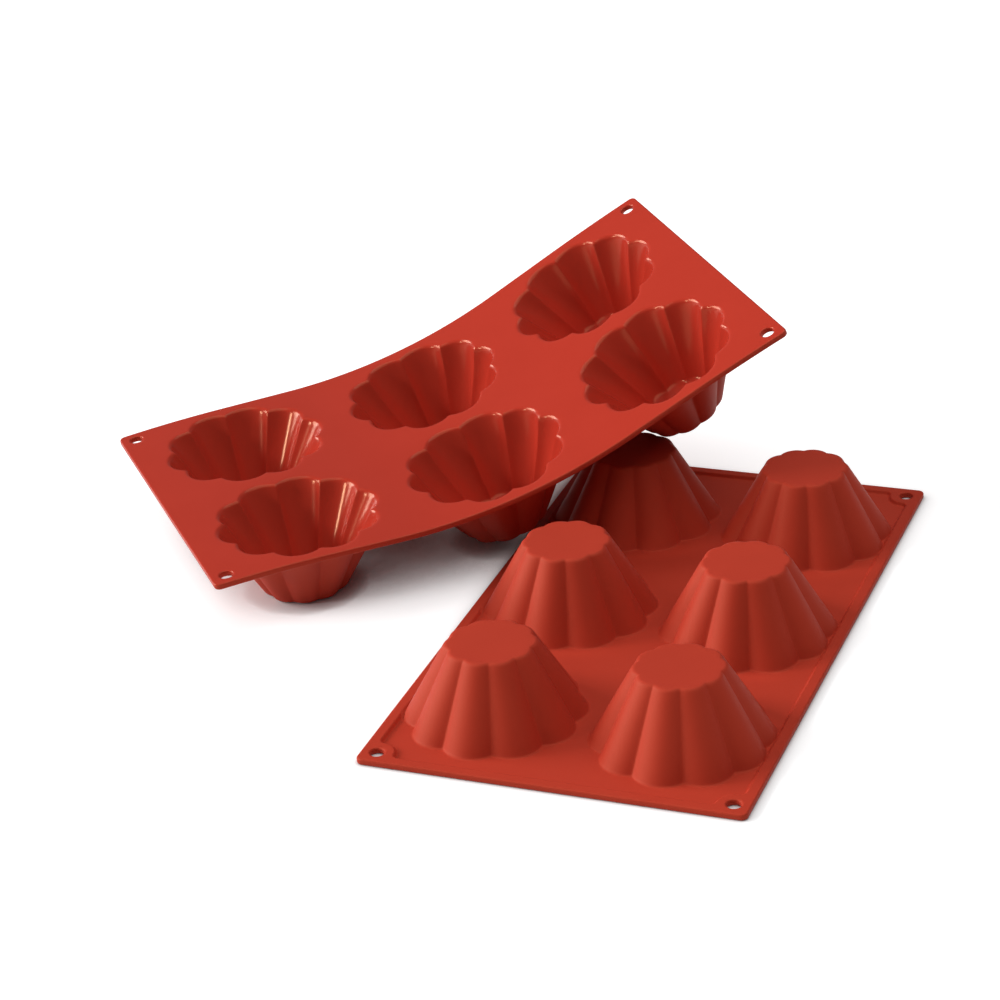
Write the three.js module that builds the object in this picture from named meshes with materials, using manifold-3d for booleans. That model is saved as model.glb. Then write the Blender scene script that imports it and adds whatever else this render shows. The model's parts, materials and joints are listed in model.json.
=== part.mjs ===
// A pair of silicone brioche moulds: one lies upside down, the other leans on it with its cups down.
// Millimetres, +Z up. The origin is the middle of the upside-down mould's face on the table.
// Each mould is built flat, x along its sheet, y across it, z up from the sheet's top face, and then bent.
import * as THREE from 'three';
import { mergeVertices } from 'three/addons/utils/BufferGeometryUtils.js';
import Module from 'manifold-3d';

const wasm = await Module();
wasm.setup();

// Cups, measured outside; crests are the ridges of the flutes and grooves the lines between them.
const COLUMNS = 3;
const ROWS = 2;
const FLUTES = 10;
const FLUTE_STEPS = 4;
const MOUTH_CREST = 40.8;
const MOUTH_FLUTE_DEPTH = 4.5;
const FLOOR_CREST = 20.3;
const FLOOR_FLUTE_DEPTH = 1.6;
const CUP_HEIGHT = 36.9;
const CUP_WALL = 2.4;
const MOUTH_ROUND = 1.2;
const FLOOR_ROUND = 1;
const FLOOR_THICKNESS = 2;

// Sheet, with a rim under its edge and a padded hole in each corner.
const SHEET_THICKNESS = 1.5;
const LAND_ALONG = 14.5;
const LAND_ACROSS = 4.3;
const END_MARGIN = 13.1;
const SIDE_MARGIN = 3.75;
const SHEET_CORNER = 3;
const RIM_WIDTH = 5.5;
const RIM_DROP = 1.5;
const HOLE_RADIUS = 3.2;
const HOLE_INSET = 7.5;
const PAD_RADIUS = 8;
const FLEX_WEB = 8;
const ZONE_GAP = 0.3;

// How the second mould leans: its raised near cup from the cup below it, which way it runs, and how it sags.
const LEAN_OFFSET = { x: 5.2, y: 21.5 };
const HEADING = THREE.MathUtils.degToRad(42.1);
const STANDING_SLOPE = THREE.MathUtils.degToRad(1.2);
const STANDING_DROOP = THREE.MathUtils.degToRad(4.1);
const RAISED_DROOP = THREE.MathUtils.degToRad(2.6);
const STANDING_BANK = THREE.MathUtils.degToRad(0.1);
const TWIST = THREE.MathUtils.degToRad(3.4);
const BEND_SPAN = 120;
const STEEPEST_BEND = THREE.MathUtils.degToRad(75);
const REST_GAP = 0.3;

// Fineness of the round and bent faces, and how far a cutting tool runs past what it cuts.
const ROUND_STEPS = 20;
const SHEET_STEP = 15;
const LINE_STEPS = 300;
const EDGE_SAMPLES = 90;
const BEND_PRECISION = 1e-6;
const OVERRUN = 1;

const PITCH_ALONG = 2 * MOUTH_CREST + LAND_ALONG;
const PITCH_ACROSS = 2 * MOUTH_CREST + LAND_ACROSS;
const END_REACH = END_MARGIN + MOUTH_CREST;
const SHEET_LENGTH = (COLUMNS - 1) * PITCH_ALONG + 2 * END_REACH;
const SHEET_WIDTH = (ROWS - 1) * PITCH_ACROSS + 2 * (MOUTH_CREST + SIDE_MARGIN);
const EDGE_HEIGHT = SHEET_THICKNESS + RIM_DROP;
const WALL_LEAN = Math.atan2(MOUTH_CREST - FLOOR_CREST, CUP_HEIGHT - SHEET_THICKNESS);
const FOOT_DEPTH = CUP_HEIGHT - FLOOR_ROUND;
const FOOT_INSET = FLOOR_ROUND / 2;
const FOOT_LEAN = Math.atan2(FLOOR_ROUND * Math.tan(WALL_LEAN) + FOOT_INSET, FLOOR_ROUND);

const MATERIALS = {
  sheet: new THREE.MeshStandardMaterial({ color: 0xb9402f, roughness: 0.42, metalness: 0 }),
  wall: new THREE.MeshStandardMaterial({ color: 0xb43d2d, roughness: 0.5, metalness: 0 }),
  floor: new THREE.MeshStandardMaterial({ color: 0xbc4330, roughness: 0.5, metalness: 0 }),
};

const cupAlong = (column) => END_REACH + column * PITCH_ALONG;
const cupAcross = (row) => ((ROWS - 1) / 2 - row) * PITCH_ACROSS;
const flexAlong = (web) => (cupAlong(web) + cupAlong(web + 1)) / 2;
const share = (value, from, to) => THREE.MathUtils.clamp((value - from) / (to - from), 0, 1);
const wallShare = (depth) => share(depth, SHEET_THICKNESS, CUP_HEIGHT);
const crestAt = (depth) => THREE.MathUtils.lerp(MOUTH_CREST, FLOOR_CREST, wallShare(depth));
const fluteDepthAt = (depth) => THREE.MathUtils.lerp(MOUTH_FLUTE_DEPTH, FLOOR_FLUTE_DEPTH, wallShare(depth));

// The line that the middle of a sheet follows along its length, starting level at the standing end.
class SheetLine {
  constructor(slopeAt, bankAt) {
    this.slopeAt = slopeAt;
    this.bankAt = bankAt;
    this.step = SHEET_LENGTH / LINE_STEPS;
    this.stations = [new THREE.Vector3()];
    for (let i = 0; i < LINE_STEPS; i += 1) {
      const slope = slopeAt((i + 0.5) * this.step);
      const ahead = new THREE.Vector3(Math.cos(slope), 0, Math.sin(slope)).multiplyScalar(this.step);
      this.stations.push(ahead.add(this.stations[i]));
    }
  }

  // The sheet's top face at a distance along it: a point on the line, and the directions there.
  frameAt(distance) {
    const station = THREE.MathUtils.clamp(Math.floor(distance / this.step), 0, LINE_STEPS - 1);
    const origin = new THREE.Vector3().lerpVectors(
      this.stations[station], this.stations[station + 1], distance / this.step - station);
    const on = THREE.MathUtils.clamp(distance, 0, SHEET_LENGTH);
    const slope = this.slopeAt(on);
    const along = new THREE.Vector3(Math.cos(slope), 0, Math.sin(slope));
    const across = new THREE.Vector3(0, 1, 0).applyAxisAngle(along, this.bankAt(on));
    const up = new THREE.Vector3().crossVectors(along, across);
    return { origin, along, across, up };
  }

  // A point of the flat sheet, where the bent sheet carries it.
  bend(point) {
    const { origin, across, up } = this.frameAt(point.x);
    return origin.addScaledVector(across, point.y).addScaledVector(up, point.z);
  }

  // The place of one cup: the middle of its mouth, and its directions.
  cupFrame(column, row) {
    const frame = this.frameAt(cupAlong(column));
    frame.origin.addScaledVector(frame.across, cupAcross(row));
    return frame;
  }

  // A point of one flat cup: its mouth bends with the sheet, and its floor keeps its shape.
  bendCup(point, column, row) {
    const { origin, along, across, up } = this.cupFrame(column, row);
    const rigid = origin
      .addScaledVector(along, point.x - cupAlong(column))
      .addScaledVector(across, point.y - cupAcross(row))
      .addScaledVector(up, point.z);
    return this.bend(point).lerp(rigid, share(-point.z, SHEET_THICKNESS, CUP_HEIGHT - FLOOR_THICKNESS));
  }
}

// A cup's radius in one direction: round-backed flutes meet in sharp grooves, one of them straight across.
function fluteReach(crest, fluteDepth, direction) {
  const halfFlute = Math.PI / FLUTES;
  const groove = crest - fluteDepth;
  const halfChord = groove * Math.sin(halfFlute);
  const rise = crest - groove * Math.cos(halfFlute);
  const radius = (halfChord ** 2 + rise ** 2) / (2 * rise);
  const fromCrest = THREE.MathUtils.euclideanModulo(direction - Math.PI / 2, 2 * halfFlute) - halfFlute;
  const aside = (crest - radius) * Math.sin(fromCrest);
  return (crest - radius) * Math.cos(fromCrest) + Math.sqrt(radius ** 2 - aside ** 2);
}

// One level loop round a cup, at a depth below the sheet's top face.
function flutedLoop(column, row, crest, fluteDepth, depth) {
  const loop = [];
  const count = FLUTES * FLUTE_STEPS;
  for (let i = 0; i < count; i += 1) {
    const direction = Math.PI * (0.5 + (2 * i) / count);
    const reach = fluteReach(crest, fluteDepth, direction);
    const x = cupAlong(column) + reach * Math.cos(direction);
    const y = cupAcross(row) + reach * Math.sin(direction);
    loop.push(new THREE.Vector3(x, y, -depth));
  }
  return loop;
}

// A closed surface through loops of one length, downwards outside; a ring joins its last loop to its first.
function loft(loops, { ring }) {
  const count = loops[0].length;
  const points = loops.flat();
  const faces = [];
  const bands = ring ? loops.length : loops.length - 1;
  for (let band = 0; band < bands; band += 1) {
    const upper = band * count;
    const lower = ((band + 1) % loops.length) * count;
    for (let i = 0; i < count; i += 1) {
      const next = (i + 1) % count;
      faces.push(upper + i, lower + i, lower + next, upper + i, lower + next, upper + next);
    }
  }
  if (!ring) {
    const middle = (loop) => loop.reduce((sum, p) => sum.add(p), new THREE.Vector3()).divideScalar(count);
    const bottom = (loops.length - 1) * count;
    const top = points.push(middle(loops[0]), middle(loops.at(-1))) - 2;
    for (let i = 0; i < count; i += 1) {
      const next = (i + 1) % count;
      faces.push(top, i, next, top + 1, bottom + next, bottom + i);
    }
  }
  return new THREE.BufferGeometry().setFromPoints(points).setIndex(faces);
}

// The same geometry with every point moved by a function.
function moved(geometry, place) {
  const copy = geometry.clone();
  const position = copy.getAttribute('position');
  const point = new THREE.Vector3();
  for (let i = 0; i < position.count; i += 1) {
    position.setXYZ(i, ...place(point.fromBufferAttribute(position, i)));
  }
  return copy;
}

// A closed geometry, bent with its sheet, as a solid that can be cut.
function bentSolid(geometry, line) {
  const bare = geometry.clone().deleteAttribute('normal').deleteAttribute('uv');
  const merged = moved(mergeVertices(bare), (point) => line.bend(point));
  return new wasm.Manifold(new wasm.Mesh({
    numProp: 3,
    vertProperties: merged.getAttribute('position').array,
    triVerts: new Uint32Array(merged.index.array),
  }));
}

// A cut solid as a geometry again.
function geometryOf(solid) {
  const { vertProperties, triVerts } = solid.getMesh();
  const geometry = new THREE.BufferGeometry();
  geometry.setAttribute('position', new THREE.BufferAttribute(vertProperties, 3));
  geometry.setIndex(new THREE.BufferAttribute(triVerts, 1));
  return geometry;
}

// A box between two distances along the sheet, divided along it so that it can bend.
function slab(from, to, halfWidth, top, bottom) {
  const steps = Math.ceil((to - from) / SHEET_STEP);
  const box = new THREE.BoxGeometry(to - from, 2 * halfWidth, top - bottom, steps, 1, 1);
  return box.translate((from + to) / 2, 0, (top + bottom) / 2);
}

// An upright cylinder that passes right through the sheet.
function through(radius, x, y) {
  const cylinder = new THREE.CylinderGeometry(radius, radius, 2 * (EDGE_HEIGHT + OVERRUN), ROUND_STEPS);
  return cylinder.rotateX(Math.PI / 2).translate(x, y, 0);
}

// What is cut from a square corner of the sheet to round it; the signs point from the middle to the corner.
function cornerCut(signX, signY) {
  const corner = new THREE.Shape();
  corner.moveTo(-SHEET_CORNER, OVERRUN);
  corner.absarc(-SHEET_CORNER, -SHEET_CORNER, SHEET_CORNER, Math.PI / 2, 0, true);
  corner.lineTo(OVERRUN, -SHEET_CORNER);
  corner.lineTo(OVERRUN, OVERRUN);
  const depth = EDGE_HEIGHT + 2 * OVERRUN;
  const curveSegments = ROUND_STEPS / 4;
  const cut = new THREE.ExtrudeGeometry(corner, { depth, bevelEnabled: false, curveSegments });
  cut.translate(0, 0, OVERRUN - depth);
  cut.rotateZ(Math.atan2(signY, signX) - Math.PI / 4);
  return cut.translate(signX > 0 ? SHEET_LENGTH : 0, signY * SHEET_WIDTH / 2, 0);
}

// One stretch of the sheet with its share of the rim, the corner pads, the holes and the cups' mouths.
function sheetZone(line, from, to, mouthColumns) {
  let zone = bentSolid(slab(from, to, SHEET_WIDTH / 2, 0, -EDGE_HEIGHT), line);
  let hollow = bentSolid(slab(
    Math.max(from - OVERRUN, RIM_WIDTH), Math.min(to + OVERRUN, SHEET_LENGTH - RIM_WIDTH),
    SHEET_WIDTH / 2 - RIM_WIDTH, -SHEET_THICKNESS, -EDGE_HEIGHT - OVERRUN), line);
  const cuts = [];
  for (const signX of [-1, 1]) {
    const end = signX > 0 ? SHEET_LENGTH : 0;
    if (end < from || end > to) continue;
    for (const signY of [-1, 1]) {
      const x = end - signX * HOLE_INSET;
      const y = signY * (SHEET_WIDTH / 2 - HOLE_INSET);
      hollow = hollow.subtract(bentSolid(through(PAD_RADIUS, x, y), line));
      cuts.push(through(HOLE_RADIUS, x, y), cornerCut(signX, signY));
    }
  }
  for (const column of mouthColumns) {
    for (let row = 0; row < ROWS; row += 1) {
      const mouth = (depth) => flutedLoop(column, row, MOUTH_CREST + ZONE_GAP, MOUTH_FLUTE_DEPTH, depth);
      cuts.push(loft([mouth(-OVERRUN), mouth(EDGE_HEIGHT + OVERRUN)], { ring: false }));
    }
  }
  zone = zone.subtract(hollow);
  for (const cut of cuts) zone = zone.subtract(bentSolid(cut, line));
  return geometryOf(zone);
}

// The fluted wall of a cup, from the sheet's top face down to its foot, open at both ends.
function cupWall(line, column, row) {
  const loop = (depth, inset) => flutedLoop(column, row, crestAt(depth) - inset, fluteDepthAt(depth), depth);
  const outside = [loop(0, 0), loop(SHEET_THICKNESS, 0), loop(FOOT_DEPTH, 0)];
  const under = [loop(CUP_HEIGHT, FOOT_INSET), loop(CUP_HEIGHT, CUP_WALL)];
  const inside = [loop(SHEET_THICKNESS + MOUTH_ROUND, CUP_WALL), loop(0, CUP_WALL - MOUTH_ROUND)];
  const wall = loft([...outside, ...under, ...inside], { ring: true });
  return moved(wall, (point) => line.bendCup(point, column, row));
}

// The flat floor of a cup, a fluted disc that fits inside the foot of its wall.
function cupFloor(line, column, row) {
  const crest = FLOOR_CREST - CUP_WALL - ZONE_GAP;
  const loop = (depth) => flutedLoop(column, row, crest, FLOOR_FLUTE_DEPTH, depth);
  const floor = loft([loop(CUP_HEIGHT - FLOOR_THICKNESS), loop(CUP_HEIGHT)], { ring: false });
  return moved(floor, (point) => line.bendCup(point, column, row));
}

// One whole mould: a panel of sheet for each column of cups, the webs that flex between them, and the cups.
function buildMould(name, line, columnNames, rowNames) {
  const mould = new THREE.Group();
  const add = (piece, geometry, material) => {
    const mesh = new THREE.Mesh(geometry, material);
    mesh.name = `${name}_${piece}`;
    mould.add(mesh);
  };
  const webEdge = FLEX_WEB / 2;
  for (let column = 0; column < COLUMNS; column += 1) {
    const from = column === 0 ? 0 : flexAlong(column - 1) + webEdge + ZONE_GAP;
    const to = column === COLUMNS - 1 ? SHEET_LENGTH : flexAlong(column) - webEdge - ZONE_GAP;
    add(`${columnNames[column]}_panel`, sheetZone(line, from, to, [column]), MATERIALS.sheet);
    for (let row = 0; row < ROWS; row += 1) {
      const cup = `${columnNames[column]}_${rowNames[row]}_cup`;
      add(`${cup}_wall`, cupWall(line, column, row), MATERIALS.wall);
      add(`${cup}_floor`, cupFloor(line, column, row), MATERIALS.floor);
    }
  }
  for (let web = 0; web < COLUMNS - 1; web += 1) {
    const middle = flexAlong(web);
    const strip = sheetZone(line, middle - webEdge, middle + webEdge, []);
    add(`${columnNames[web]}_${columnNames[web + 1]}_flex_web`, strip, MATERIALS.sheet);
  }
  return mould;
}

// Every cup of a mould as a frame in the pair's own space.
function placedCups(line, matrix) {
  const cups = [];
  for (let column = 0; column < COLUMNS; column += 1) {
    for (let row = 0; row < ROWS; row += 1) {
      const frame = line.cupFrame(column, row);
      frame.origin.applyMatrix4(matrix);
      for (const side of ['along', 'across', 'up']) frame[side].transformDirection(matrix);
      cups.push(frame);
    }
  }
  return cups;
}

// Points round both edges of a placed cup's foot.
function footPoints({ origin, along, across, up }) {
  const points = [];
  for (const [depth, inset] of [[FOOT_DEPTH, 0], [CUP_HEIGHT, FOOT_INSET]]) {
    for (let i = 0; i < EDGE_SAMPLES; i += 1) {
      const direction = (2 * Math.PI * i) / EDGE_SAMPLES;
      const reach = fluteReach(crestAt(depth) - inset, fluteDepthAt(depth), direction);
      points.push(origin.clone()
        .addScaledVector(up, -depth)
        .addScaledVector(along, reach * Math.cos(direction))
        .addScaledVector(across, reach * Math.sin(direction)));
    }
  }
  return points;
}

// How far a point is outside a placed cup.
function outsideCup(point, { origin, along, across, up }) {
  const offset = point.clone().sub(origin);
  const depth = -offset.dot(up);
  const radius = Math.hypot(offset.dot(along), offset.dot(across));
  const direction = Math.atan2(offset.dot(across), offset.dot(along));
  const reach = fluteReach(crestAt(depth), fluteDepthAt(depth), direction);
  const beyondWall = (radius - reach) * Math.cos(WALL_LEAN);
  const beyondFoot = (radius - FLOOR_CREST + FOOT_INSET) * Math.cos(FOOT_LEAN)
    + (depth - CUP_HEIGHT) * Math.sin(FOOT_LEAN);
  return Math.max(depth - CUP_HEIGHT, beyondWall, beyondFoot);
}

// The mould that lies flat, turned over with its length along Y.
const flatLine = new SheetLine(() => 0, () => 0);
const flatPose = new THREE.Object3D();
flatPose.rotation.set(Math.PI, 0, Math.PI / 2);
flatPose.position.set(0, SHEET_LENGTH / 2, 0);
flatPose.updateMatrix();
const [cupBelow] = placedCups(flatLine, flatPose.matrix);

// The leaning mould for one bend of its middle, standing on the table by its lowest cup.
// Its raised near cup, the last one, is by the lower mould's back left cup, the first one.
function leaningPose(bend) {
  const slopeAt = (distance) => STANDING_SLOPE
    + bend * share(distance, (SHEET_LENGTH - BEND_SPAN) / 2, (SHEET_LENGTH + BEND_SPAN) / 2)
    + STANDING_DROOP * (1 - share(distance, 0, END_REACH))
    - RAISED_DROOP * share(distance, SHEET_LENGTH - END_REACH, SHEET_LENGTH);
  const bankAt = (distance) => STANDING_BANK + (TWIST * distance) / SHEET_LENGTH;
  const line = new SheetLine(slopeAt, bankAt);
  const pose = new THREE.Object3D();
  pose.rotation.z = HEADING;
  pose.updateMatrix();
  const cups = placedCups(line, pose.matrix);
  const heights = cups.flatMap(footPoints).map((point) => point.z);
  const from = cups.at(-1).origin;
  const onto = cupBelow.origin;
  pose.position.set(
    onto.x + LEAN_OFFSET.x - from.x, onto.y + LEAN_OFFSET.y - from.y, REST_GAP - Math.min(...heights));
  pose.updateMatrix();
  return { line, pose, raisedCup: placedCups(line, pose.matrix).at(-1) };
}

// The least gap between two placed cups: the foot of each against the other.
function leastGap(one, other) {
  return Math.min(
    ...footPoints(one).map((point) => outsideCup(point, other)),
    ...footPoints(other).map((point) => outsideCup(point, one)));
}

// The leaning mould's bend: it sinks until its raised cup rests on the cup below.
let restingBend = STEEPEST_BEND;
let sunkenBend = 0;
while (restingBend - sunkenBend > BEND_PRECISION) {
  const middle = (restingBend + sunkenBend) / 2;
  if (leastGap(leaningPose(middle).raisedCup, cupBelow) < REST_GAP) sunkenBend = middle;
  else restingBend = middle;
}
const leaning = leaningPose(restingBend);

const lower = buildMould('lower', flatLine, ['back', 'middle', 'front'], ['left', 'right']);
lower.rotation.copy(flatPose.rotation);
lower.position.copy(flatPose.position);

const upper = buildMould('upper', leaning.line, ['standing', 'middle', 'raised'], ['far', 'near']);
upper.rotation.copy(leaning.pose.rotation);
upper.position.copy(leaning.pose.position);

// Where the sheets flex and which way the cups' floors are pushed, in the pair's own space.
function motionLines(line, pose, liftSign) {
  const flexes = [];
  for (let web = 0; web < COLUMNS - 1; web += 1) {
    const { origin, across } = line.frameAt(flexAlong(web));
    const axis = across.transformDirection(pose.matrix).multiplyScalar(liftSign);
    flexes.push({ point: origin.applyMatrix4(pose.matrix), axis });
  }
  const pushes = placedCups(line, pose.matrix).map(({ origin, up }) => ({ point: origin, axis: up }));
  return { flexes, pushes };
}
lower.userData = motionLines(flatLine, flatPose, 1);
upper.userData = motionLines(leaning.line, leaning.pose, -1);

const pair = new THREE.Group();
pair.add(lower, upper);

export default pair;
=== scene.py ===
"""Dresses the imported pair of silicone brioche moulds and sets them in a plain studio.

The lower mould lies upside down on the table and the upper one leans on it. Each mould is drawn flat, in
millimetres: x along its sheet, y across it and z up from the sheet's top face. The drawing is then bent and
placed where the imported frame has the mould, in metres.
"""

import json
import logging
import math
from dataclasses import dataclass, field
from enum import Enum
from typing import Sequence

import bmesh
import bpy
import numpy as np
from mathutils import Euler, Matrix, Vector
from mathutils.geometry import delaunay_2d_cdt
from mathutils.kdtree import KDTree


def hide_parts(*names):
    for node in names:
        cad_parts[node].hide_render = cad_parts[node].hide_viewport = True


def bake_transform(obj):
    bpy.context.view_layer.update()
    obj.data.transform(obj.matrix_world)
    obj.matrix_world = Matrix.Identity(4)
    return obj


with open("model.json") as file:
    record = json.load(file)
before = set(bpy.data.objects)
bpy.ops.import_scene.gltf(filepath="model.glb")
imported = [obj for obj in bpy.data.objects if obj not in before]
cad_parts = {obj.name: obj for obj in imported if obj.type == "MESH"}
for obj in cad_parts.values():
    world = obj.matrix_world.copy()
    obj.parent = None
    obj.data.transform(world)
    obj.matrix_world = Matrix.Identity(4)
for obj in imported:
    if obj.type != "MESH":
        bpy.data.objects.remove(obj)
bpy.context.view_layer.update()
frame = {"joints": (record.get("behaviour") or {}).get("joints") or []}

LOG = logging.getLogger("brioche_moulds")
FLAT_PLACE = "flat_place_mm"
MM = 0.001
WHITE = "#FFFFFF"
SHARP_ANGLE = math.radians(40.0)

# How near two places in millimetres are when they count as one, and the digits that such places share.
NEAR = 1e-6
NEAR_DIGITS = 6
ON_LINE = 1e-4
MATCH_DIGITS = 3


class Face(Enum):
    """The two faces of a moulding, by the place of their finish among its materials."""

    INSIDE = 0
    OUTSIDE = 1


# --------------------------------------------------------------------------------------------------
# Finishes
# --------------------------------------------------------------------------------------------------


def linear(colour: str) -> tuple[float, float, float, float]:
    """Turns an sRGB colour into the linear one that shaders take.

    Args:
        colour: A hash sign and six hex digits.

    Returns:
        Red, green, blue and an alpha of 1.
    """
    channels = [int(colour[i : i + 2], 16) / 255 for i in (1, 3, 5)]
    red, green, blue = (c / 12.92 if c <= 0.04045 else ((c + 0.055) / 1.055) ** 2.4 for c in channels)
    return red, green, blue, 1.0


def add_node(tree: bpy.types.NodeTree, kind: str, settings: dict, sockets: dict) -> bpy.types.Node:
    """Adds one node with its settings, values and links.

    Args:
        tree: The node tree that takes the node.
        kind: The node's type name.
        settings: Attributes to set on the node.
        sockets: Inputs by name or number. An output socket is linked, and anything else is the value.

    Returns:
        The new node.
    """
    node = tree.nodes.new(kind)
    for name, value in settings.items():
        setattr(node, name, value)
    for name, value in sockets.items():
        if isinstance(value, bpy.types.NodeSocket):
            tree.links.new(value, node.inputs[name])
        else:
            node.inputs[name].default_value = value
    return node


@dataclass(frozen=True)
class MouldedSilicone:
    """Silicone rubber as one half of its mould tool leaves it, in millimetres. Its highlights are warm."""

    name: str
    colour: str
    deep_colour: str
    roughness: float
    grain_width: float
    grain_height: float
    grain_detail: float = 2.0
    cloud_width: float = 38.0
    cloud_detail: float = 3.0
    roughness_spread: float = 0.04
    ior: float = 1.41
    sheen_colour: str = "#FFC996"

    def material(self) -> bpy.types.Material:
        """Makes the material, with its patterns laid out on the flat mould.

        Returns:
            The new material.
        """
        material = bpy.data.materials.new(self.name)
        material.use_nodes = True
        tree = material.node_tree
        tree.nodes.clear()
        flat = add_node(tree, "ShaderNodeAttribute", {"attribute_name": FLAT_PLACE}, {}).outputs["Vector"]
        patterns = ((self.cloud_width, self.cloud_detail), (self.grain_width, self.grain_detail))
        clouds, grain = (
            add_node(
                tree, "ShaderNodeTexNoise", {}, {"Vector": flat, "Scale": 1 / width, "Detail": detail}
            ).outputs["Fac"]
            for width, detail in patterns
        )
        tint = add_node(
            tree,
            "ShaderNodeMixRGB",
            {},
            {"Fac": clouds, "Color1": linear(self.colour), "Color2": linear(self.deep_colour)},
        )
        skin = add_node(
            tree,
            "ShaderNodeMapRange",
            {},
            {
                "Value": grain,
                "To Min": self.roughness - self.roughness_spread,
                "To Max": self.roughness + self.roughness_spread,
            },
        )
        bump = add_node(
            tree, "ShaderNodeBump", {}, {"Height": grain, "Strength": 1.0, "Distance": self.grain_height * MM}
        )
        shader = add_node(
            tree,
            "ShaderNodeBsdfPrincipled",
            {},
            {
                "Base Color": tint.outputs["Color"],
                "Roughness": skin.outputs["Result"],
                "Normal": bump.outputs["Normal"],
                "IOR": self.ior,
                "Specular Tint": linear(self.sheen_colour),
            },
        )
        add_node(tree, "ShaderNodeOutputMaterial", {}, {"Surface": shader.outputs["BSDF"]})
        return material


# The faces that hold the dough come off the polished half of the tool, so they are nearly glossy and take
# long clear highlights. Their fine grain is drawn coarser than it is, to show at all.
POLISHED_FACE = MouldedSilicone(
    name="moulded_silicone_polished",
    colour="#B63627",
    deep_colour="#AE3122",
    roughness=0.18,
    grain_width=1.5,
    grain_height=0.008,
)

# The outside comes off the blasted half: an even satin skin with soft, wide highlights. The real grain is
# about a quarter of a millimetre wide and is drawn coarser, to show at all.
SATIN_FACE = MouldedSilicone(
    name="moulded_silicone_satin",
    colour="#B63625",
    deep_colour="#AC3020",
    roughness=0.62,
    grain_width=1.0,
    grain_height=0.02,
)


# --------------------------------------------------------------------------------------------------
# Sizes of one mould, laid flat
# --------------------------------------------------------------------------------------------------


@dataclass(frozen=True)
class CupSizes:
    """One fluted cup in millimetres, measured outside over the crests of its flutes."""

    flutes: int = 10
    mouth_crest: float = 40.8
    mouth_flute_depth: float = 4.5
    floor_crest: float = 20.3
    floor_flute_depth: float = 1.6
    height: float = 36.9
    wall: float = 2.4
    floor_thickness: float = 2.0
    mouth_round: float = 2.8
    root_round: float = 1.5
    foot_round: float = 2.4
    corner_round: float = 2.5
    groove_round: float = 1.1
    seam_crest: float = 42.2
    flute_steps: int = 16
    groove_crowding: float = 0.8
    round_steps: int = 5
    ring_step: float = 1.8

    def directions(self) -> np.ndarray:
        """Divides the way round a cup, from straight across the sheet and closest at the grooves.

        Returns:
            The directions in radians.
        """
        steps = np.arange(self.flutes * self.flute_steps) / self.flute_steps
        turn = steps - self.groove_crowding * np.sin(2 * np.pi * steps) / (2 * np.pi)
        return np.pi / 2 + 2 * np.pi * turn / self.flutes

    def loop(self, crest: float, flute_depth: float) -> np.ndarray:
        """Draws one level loop round a cup: round-backed flutes that meet in tight grooves.

        Args:
            crest: The radius at the crests.
            flute_depth: How far the grooves are inside the crests.

        Returns:
            The loop's points in the sheet's plane, round the cup's middle.
        """
        directions = self.directions()
        half = math.pi / self.flutes
        groove = crest - flute_depth
        rise = crest - groove * math.cos(half)
        back = ((groove * math.sin(half)) ** 2 + rise**2) / (2 * rise)
        from_crest = np.abs((directions - np.pi / 2) % (2 * half) - half)
        flutes = []
        for angle in (from_crest, 2 * half - from_crest):
            aside = np.clip(back**2 - ((crest - back) * np.sin(angle)) ** 2, 0, None)
            flutes.append((crest - back) * np.cos(angle) + np.sqrt(aside))
        softness = self.groove_round * flute_depth / self.mouth_flute_depth
        reach = (flutes[0] + flutes[1] + np.hypot(flutes[0] - flutes[1], softness)) / 2
        return reach[:, None] * np.stack([np.cos(directions), np.sin(directions)], axis=1)


@dataclass(frozen=True)
class SheetSizes:
    """The flat sheet of a mould in millimetres, with its rim, corner pads and holes."""

    columns: int = 3
    rows: int = 2
    thickness: float = 1.5
    land_along: float = 14.5
    land_across: float = 4.3
    end_margin: float = 13.1
    side_margin: float = 3.75
    corner: float = 3.0
    rim_width: float = 5.5
    rim_drop: float = 1.5
    rim_slope: float = 0.8
    pad_radius: float = 8.0
    pad_blend: float = 2.5
    hole_radius: float = 3.2
    hole_inset: float = 7.5
    edge_round: float = 0.8
    guard: float = 0.35
    flex_reach: float = 4.8
    flex_step: float = 1.2
    flex_spread: float = 3.0
    flex_clear: float = 0.9
    side_step: float = 2.0
    corner_clear: float = 0.5
    seam_clear: float = 0.7
    edge_clear: float = 1.0
    grid_step: float = 5.0
    round_steps: int = 4
    arc_steps: int = 8
    hole_steps: int = 40

    @property
    def edge_height(self) -> float:
        """The height of the sheet's edge, with its rim."""
        return self.thickness + self.rim_drop


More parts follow.
